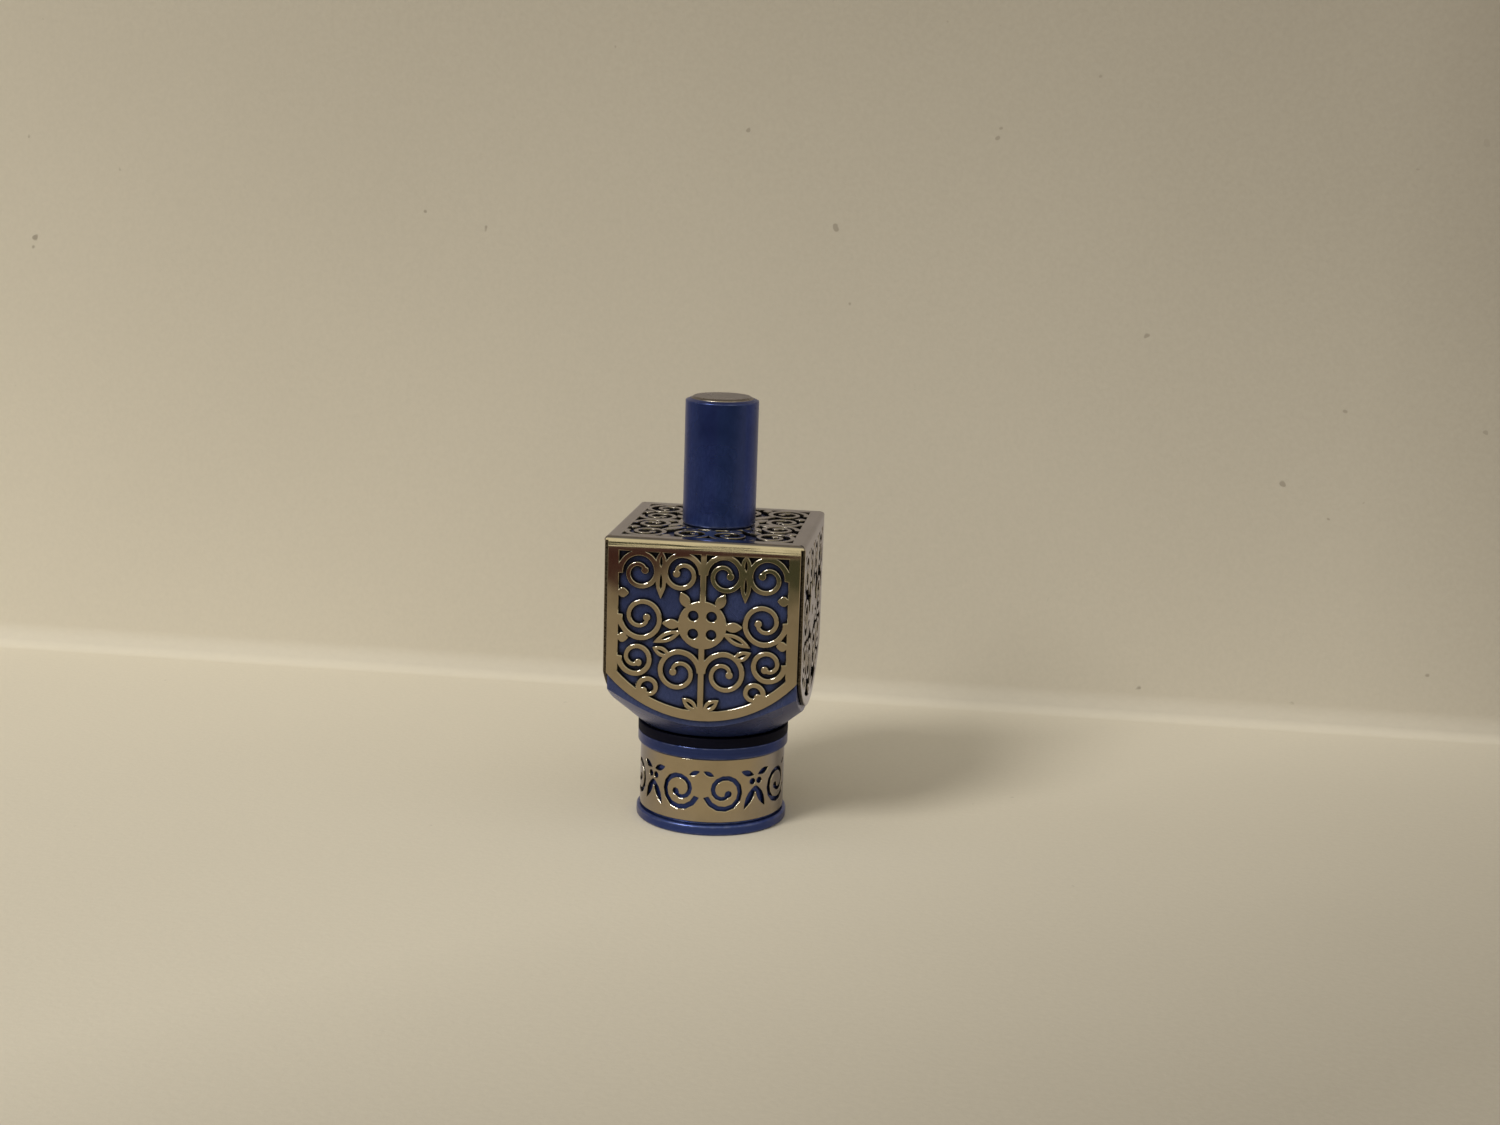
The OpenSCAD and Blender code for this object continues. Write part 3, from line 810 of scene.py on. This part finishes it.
top_loops = side_loops("cover", lambda c: abs(c.z - cover_top) < 1e-6, lambda c: (c.x, c.y))
top_loops.sort(key=lambda loop: -abs(loop_area(loop)))
blank_loops = [smooth_loop(loop) for loop in top_loops[1:]]
plate_half = flat_half - fold_r / 4
blank_outline = []
for q in range(4):
    turn = Matrix.Rotation(q * math.pi / 2, 2)
    loops = side_loops("cover", *flap_side(q))
    loops.sort(key=lambda loop: -abs(loop_area(loop)))
    blank_loops += [[turn @ p for p in smooth_loop(loop)] for loop in loops[1:]]
    flap = smooth_loop(loops[0])
    first = min(range(len(flap)), key=lambda i: (round(flap[i].x, 5), flap[i].y))
    notch = [Vector((plate_half, -plate_half)), Vector((plate_half, mitre_slit - plate_half))]
    blank_outline += [turn @ p for p in
                      notch + fold_edge(-1) + flap[first:] + flap[:first] + fold_edge(1)[::-1]
                      + [Vector((plate_half, plate_half - mitre_slit))]]
blank_form = cut_sheet([blank_outline] + blank_loops, sheet_t)
bend_steps, bend_ease = 8, 0.15 * mm
spring, spring_reach = math.radians(13), 3.2 * mm
for axis in (0, 1):
    for side in (-1, 1):
        cut_across(blank_form, axis, [
            side * (flat_half + d) for d in
            [-bend_ease] + [fold_arc * i / bend_steps for i in range(bend_steps + 1)]
            + [fold_arc + spring_reach * i / 6 for i in range(1, 7)]])

fold_tree, fold_in = bending_tree("Fold Flaps", ["Flat Half", "Fold Radius", "Top"])
flat_x, flat_y, flat_z = put_node(
    fold_tree, "ShaderNodeSeparateXYZ",
    {0: fold_tree.nodes.new("GeometryNodeInputPosition").outputs[0]}).outputs
size_x, size_y = calc(fold_tree, "ABSOLUTE", flat_x), calc(fold_tree, "ABSOLUTE", flat_y)
outward = calc(fold_tree, "MAXIMUM", size_x, size_y)
excess = calc(fold_tree, "MAXIMUM",
              calc(fold_tree, "SUBTRACT", outward, fold_in.outputs["Flat Half"]), 0.0)
whole_arc = calc(fold_tree, "MULTIPLY", fold_in.outputs["Fold Radius"], math.pi / 2)
fold_angle = calc(fold_tree, "DIVIDE", calc(fold_tree, "MINIMUM", excess, whole_arc),
                  fold_in.outputs["Fold Radius"])
hanging = calc(fold_tree, "MAXIMUM", calc(fold_tree, "SUBTRACT", excess, whole_arc), 0.0)
layer_r = calc(fold_tree, "ADD", fold_in.outputs["Fold Radius"], flat_z)
folded_out = calc(fold_tree, "ADD",
                  calc(fold_tree, "MINIMUM", outward, fold_in.outputs["Flat Half"]),
                  calc(fold_tree, "MULTIPLY", layer_r, calc(fold_tree, "SINE", fold_angle)))
folded_z = calc(
    fold_tree, "ADD",
    calc(fold_tree, "SUBTRACT", fold_in.outputs["Top"], fold_in.outputs["Fold Radius"]),
    calc(fold_tree, "SUBTRACT",
         calc(fold_tree, "MULTIPLY", layer_r, calc(fold_tree, "COSINE", fold_angle)), hanging))
sideways = calc(fold_tree, "GREATER_THAN", size_x, size_y)
lengthways = calc(fold_tree, "SUBTRACT", 1.0, sideways)


def folded(flat, moves, stays):
    """One coordinate of the folded point: moved out on its own flaps, or as it was."""
    out = calc(fold_tree, "MULTIPLY", calc(fold_tree, "SIGN", flat), folded_out)
    return calc(fold_tree, "ADD", calc(fold_tree, "MULTIPLY", out, moves),
                calc(fold_tree, "MULTIPLY", flat, stays))


end_bending(fold_tree, fold_in, folded(flat_x, sideways, lengthways),
            folded(flat_y, lengthways, sideways), folded_z)


def cover_normal(c):
    """Direction that the cover's outer side faces at a point. The sheet springs back a
    little after the bend, so a flap still leans where it starts."""
    out = max(abs(c.x), abs(c.y)) - flat_half
    if out <= 0:
        return Vector((0, 0, 1))
    if c.z > fold_z:
        tilt = math.atan2(out, c.z - fold_z) * (1 - spring / (math.pi / 2))
    else:
        tilt = math.pi / 2 - spring * max(0, 1 - (fold_z - c.z) / spring_reach) ** 2
    away = math.sin(tilt)
    if abs(c.x) > abs(c.y):
        return Vector((math.copysign(away, c.x), 0, math.cos(tilt)))
    return Vector((0, math.copysign(away, c.y), math.cos(tilt)))


cover = bend("folded_cover", sheet_mesh("blank", blank_form), fold_tree,
             {"Flat Half": flat_half, "Fold Radius": fold_r, "Top": cover_top}, sheet_steel)
true_normals(cover, cover_normal)
finish_piece(cover, None, "dreidel", "polished_sheet", "cover")

# Stem stud
# A headless steel screw that joins the stem to the block through the cover's top. It is
# hidden when the dreidel is whole.
stud_point = 0.5 * mm
stud_rows = 240
thread_pitch, thread_depth = 0.7 * mm, 0.38 * mm
stud_side = [(stud_r, stud_low + stud_point + (stud_high - stud_low - 2 * stud_point) * i
              / stud_rows) for i in range(stud_rows + 1)]
plain_stud = turned("plain_stud", [(0, stud_low), (stud_r - stud_point, stud_low)] + stud_side
                    + [(stud_r - stud_point, stud_high), (0, stud_high)], 0.05 * mm, segments=48)

thread_tree, thread_in = bending_tree("Cut Thread", ["Pitch", "Depth", "Low End", "High End"])
stud_x, stud_y, stud_z = put_node(
    thread_tree, "ShaderNodeSeparateXYZ",
    {0: thread_tree.nodes.new("GeometryNodeInputPosition").outputs[0]}).outputs
turns = calc(thread_tree, "DIVIDE", calc(thread_tree, "ARCTAN2", stud_y, stud_x), math.tau)
ridge = calc(thread_tree, "PINGPONG", calc(
    thread_tree, "SUBTRACT", calc(thread_tree, "DIVIDE", stud_z, thread_in.outputs["Pitch"]),
    turns), 0.5)
from_end = calc(thread_tree, "MINIMUM",
                calc(thread_tree, "SUBTRACT", stud_z, thread_in.outputs["Low End"]),
                calc(thread_tree, "SUBTRACT", thread_in.outputs["High End"], stud_z))
runout = calc(thread_tree, "MINIMUM", calc(thread_tree, "MAXIMUM", calc(
    thread_tree, "DIVIDE", from_end, thread_in.outputs["Pitch"]), 0.0), 1.0)
cut_depth = calc(thread_tree, "MULTIPLY", calc(thread_tree, "MULTIPLY", ridge, 2.0),
                 calc(thread_tree, "MULTIPLY", runout, thread_in.outputs["Depth"]))
stud_distance = calc(thread_tree, "MAXIMUM", from_axis(thread_tree, stud_x, stud_y), 1e-6)
narrowing = calc(thread_tree, "SUBTRACT", 1.0,
                 calc(thread_tree, "DIVIDE", cut_depth, stud_distance))
end_bending(thread_tree, thread_in, calc(thread_tree, "MULTIPLY", stud_x, narrowing),
            calc(thread_tree, "MULTIPLY", stud_y, narrowing), stud_z)

stud_steel = polished_steel("stud_steel", (0.30, 0.30, 0.31, 1), (0.22, 0.21, 0.20, 1),
                            (0.25, 0.25, 0.25, 1), 0.01 * mm, 0.25)
plain_mesh = plain_stud.data
bpy.data.objects.remove(plain_stud)
stud = bend("threaded_stud", plain_mesh, thread_tree,
            {"Pitch": thread_pitch, "Depth": thread_depth, "Low End": stud_low + stud_point,
             "High End": stud_high - stud_point}, stud_steel)
finish_piece(stud, None, "carrier", "stud_steel", "stem_stud")

# Stem
# The handle: a round bar of aluminium, brushed along its length and anodised like the
# block, with a sloping shoulder, a recess for the disc and a tapped hole below.
stem_low, stem_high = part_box("stem")
disc_low, disc_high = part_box("stem_disc")
stem_r, stem_top = stem_high.x, stem_high.z - 0.45 * mm
stem_foot_cut, disc_r, disc_gap = 0.3 * mm, disc_high.x, 0.05 * mm
stem_hole_r, stem_hole_top = stud_r + stud_gap, stud_high + hole_end_gap
stem = turned("handle", [
    (0, stem_hole_top), (stem_hole_r, stem_hole_top), (stem_hole_r, stem_low.z),
    (stem_r - stem_foot_cut, stem_low.z), (stem_r, stem_low.z + stem_foot_cut),
    (stem_r, stem_top), (disc_r + disc_gap, stem_high.z), (disc_r + disc_gap, disc_low.z),
    (0, disc_low.z)], 0.12 * mm)
brushed_blue = anodised_blue("brushed_blue", (1.0, 1.0, 0.35))
finish_piece(stem, brushed_blue, "dreidel", "anodised_blue", "stem")

# Stem disc
# A bare steel disc with a bevelled rim, face turned and pressed into the top of the stem.
# Its face is plain.
disc_bevel = 0.6 * mm
disc = turned("inlaid_disc", [
    (0, disc_low.z), (disc_r, disc_low.z), (disc_r, stem_high.z),
    (disc_r - disc_bevel, disc_high.z), (0, disc_high.z)], 0.1 * mm)
turned_steel, disc_tree, disc_place, disc_shader = new_material("turned_steel")
disc_parts = put_node(disc_tree, "ShaderNodeSeparateXYZ", {0: disc_place}).outputs
disc_distance = from_axis(disc_tree, disc_parts[0], disc_parts[1])
disc_rings = put_node(disc_tree, "ShaderNodeTexNoise",
                      {"W": calc(disc_tree, "MULTIPLY", disc_distance, 9000.0), "Scale": 1.0,
                       "Detail": 2.0}, noise_dimensions="1D").outputs["Fac"]
disc_marks = put_node(disc_tree, "ShaderNodeGroup", {"Vector": disc_place},
                      node_tree=polish_marks_group)
disc_wear = put_node(disc_tree, "ShaderNodeGroup", {"Vector": disc_place},
                     node_tree=edge_wear_group)
disc_smudge = disc_marks.outputs["Smudge"]
disc_tone = tint(disc_tree, disc_smudge, (0.33, 0.30, 0.25, 1), (0.25, 0.22, 0.18, 1))
set_input(disc_tree, disc_shader, "Base Color",
          tint(disc_tree, disc_wear.outputs["Mask"], disc_tone, (0.60, 0.56, 0.50, 1)))
set_input(disc_tree, disc_shader, "Roughness", ramp(disc_tree, disc_smudge, 0.0, 1.0, 0.22, 0.34))
disc_shader.inputs["Metallic"].default_value = 1
relief(disc_tree, disc_shader, disc_rings, 0.25, 0.008 * mm)
finish_piece(disc, turned_steel, "dreidel", "disc_steel", "stem_disc")

# Floor and light
# A plain pale cloth that lies on a table and hangs behind it, with painted shade in its
# colour. One soft light stands in front to the left, above, and the room fills the rest.
# What the polished steel reflects in front is the room past the cloth.
cloth, cloth_tree, cloth_place, cloth_shader = new_material("pale_cloth")
cloth_parts = put_node(cloth_tree, "ShaderNodeSeparateXYZ", {0: cloth_place}).outputs
weave = noise(cloth_tree, cloth_place, 900.0, 3.0)
folds = noise(cloth_tree, cloth_place, 7.0, 2.0)
lint = noise(cloth_tree, cloth_place, 260.0, 1.0)
specks = ramp(cloth_tree, lint, 0.80, 0.84)
# Painted shade: the cloth is darker towards the front right.
front_right_shade = ramp(cloth_tree, calc(cloth_tree, "SUBTRACT", cloth_parts[0], cloth_parts[1]),
                   45 * mm, 225 * mm, 0.80, 0.29)
# Painted shade: the hanging part is darker than the floor, more so to the right, starting low in
# the crease.
hanging = ramp(cloth_tree, cloth_parts[2], 0.0, 1.8 * mm)
hanging_shade = calc(cloth_tree, "MULTIPLY", hanging, calc(
    cloth_tree, "SUBTRACT", -0.30, calc(cloth_tree, "MULTIPLY", cloth_parts[0], 0.3)))
shade = calc(cloth_tree, "ADD", front_right_shade, hanging_shade)
# Painted shade: darker to the right and higher up the hanging part.
for part, amount in ((cloth_parts[0], -0.55), (cloth_parts[2], -1.9), (folds, 0.16),
                     (weave, 0.12), (specks, -0.5)):
    shade = calc(cloth_tree, "ADD", shade, calc(cloth_tree, "MULTIPLY", part, amount))
cloth_colour = tint(cloth_tree, calc(cloth_tree, "SUBTRACT", shade, 0.07),
                    (0.300, 0.264, 0.203, 1), (0.680, 0.619, 0.490, 1))

# Painted reflection: mirror rays see the cloth with a painted cast of the room on it,
# brighter to the right, and a painted dark room past the cloth's uneven front edge.
edge_wobble = noise(cloth_tree, cloth_place, 42.0, 2.0)
past_cloth = ramp(cloth_tree, calc(cloth_tree, "ADD", cloth_parts[1],
                                   calc(cloth_tree, "MULTIPLY", edge_wobble, 0.10)),
                  -185 * mm, -200 * mm)
to_the_right = ramp(cloth_tree, cloth_parts[0], -60 * mm, -40 * mm)
from_middle = ramp(cloth_tree, calc(cloth_tree, "ABSOLUTE", calc(
    cloth_tree, "ADD", cloth_parts[0], 45 * mm)), 3 * mm, 12 * mm)
painted_dark_room = tint(cloth_tree, to_the_right, (0.075, 0.016, 0.008, 1), (0.075, 0.078, 0.028, 1))
in_front = ramp(cloth_tree, cloth_parts[1], 20 * mm, -30 * mm)
cast = tint(cloth_tree, in_front, (0.78, 0.78, 0.92, 1), (1.02, 0.90, 0.70, 1))
cast_cloth = tint(cloth_tree, 1.0, cloth_colour, cast, "MULTIPLY")
right_side = ramp(cloth_tree, cloth_parts[0], 80 * mm, 220 * mm, 1.0, 2.0)
left_side = ramp(cloth_tree, cloth_parts[0], -80 * mm, -220 * mm, 0.0, -0.45)
cloth_mirrored = put_node(cloth_tree, "ShaderNodeVectorMath",
                          {0: cast_cloth, 3: calc(cloth_tree, "ADD", right_side, left_side)},
                          operation="SCALE").outputs[0]
painted_mirror_colour = tint(cloth_tree, calc(cloth_tree, "MULTIPLY", past_cloth, from_middle),
                cloth_mirrored, painted_dark_room)
# Painted reflection: only mirror rays see these colours; the camera and the lamps see the plain
# cloth colour.
in_mirror = put_node(cloth_tree, "ShaderNodeLightPath").outputs["Is Glossy Ray"]
set_input(cloth_tree, cloth_shader, "Base Color",
          tint(cloth_tree, in_mirror, cloth_colour, painted_mirror_colour))
cloth_shader.inputs["Roughness"].default_value = 0.95
cloth_shader.inputs["Specular IOR Level"].default_value = 0.1
relief(cloth_tree, cloth_shader, weave, 0.25, 0.2 * mm)
from_behind = put_node(cloth_tree, "ShaderNodeNewGeometry").outputs["Backfacing"]
set_input(cloth_tree, cloth_shader, "Alpha", calc(cloth_tree, "SUBTRACT", 1.0, from_behind))

floor_half, crease_y, crease_r, cloth_top = 20.0, 97.5 * mm, 6 * mm, 1.5
crease_steps = 12
cloth_line = [(-floor_half, 0)] + [
    (crease_y - crease_r + crease_r * math.sin(a), crease_r - crease_r * math.cos(a))
    for a in (math.pi / 2 * i / crease_steps for i in range(crease_steps + 1))] \
    + [(crease_y, cloth_top)]
cloth_points = [(x, y, z) for y, z in cloth_line for x in (-floor_half, floor_half)]
floor_mesh = bpy.data.meshes.new("floor")
floor_mesh.from_pydata(cloth_points, [], [(2 * i, 2 * i + 1, 2 * i + 3, 2 * i + 2)
                                          for i in range(len(cloth_line) - 1)])
floor_mesh.shade_smooth()
floor = link("floor", floor_mesh)
floor.data.materials.append(cloth)

world = bpy.data.worlds.new("room")
bpy.context.scene.world = world
world.use_nodes = True
room = world.node_tree
room_light = room.nodes["Background"]
looking = put_node(room, "ShaderNodeTexCoord").outputs["Generated"]
right_of, ahead_of, height = put_node(room, "ShaderNodeSeparateXYZ", {0: looking}).outputs
ray = put_node(room, "ShaderNodeLightPath").outputs
room_shapes = noise(room, stretched(room, looking, (2.5, 1.0, 1.0)), 14.0, 2.0)
above_shapes = ramp(room, calc(room, "SUBTRACT", height, calc(room, "MULTIPLY", room_shapes, 2.0)),
                    -0.975, -0.935)
lit_room = tint(room, above_shapes, (0.060, 0.058, 0.026, 1), (1.25, 1.12, 0.74, 1))
beside = tint(room, ramp(room, right_of, -0.2, 0.6), (0.30, 0.28, 0.25, 1), (0.66, 0.62, 0.54, 1))
room_mirrored = tint(room, ramp(room, ahead_of, -0.20, -0.50), beside, lit_room)
room_fill = tint(room, ray["Is Glossy Ray"], (0.68, 0.68, 0.68, 1), room_mirrored)
room_colour = tint(room, ray["Is Camera Ray"], room_fill, (0.44, 0.395, 0.30, 1))
room.links.new(room_colour, room_light.inputs["Color"])

key_data = bpy.data.lights.new("key", "SUN")
key_data.energy = 1.75
key_data.angle = math.radians(18)
key_data.color = (1.0, 0.985, 0.96)
key = bpy.data.objects.new("key", key_data)
bpy.context.scene.collection.objects.link(key)
key_from = Vector((-0.49, -0.63, 0.60))
key.rotation_euler = key_from.to_track_quat("Z", "Y").to_euler()

scene = bpy.context.scene
scene.view_settings.view_transform = "Standard"
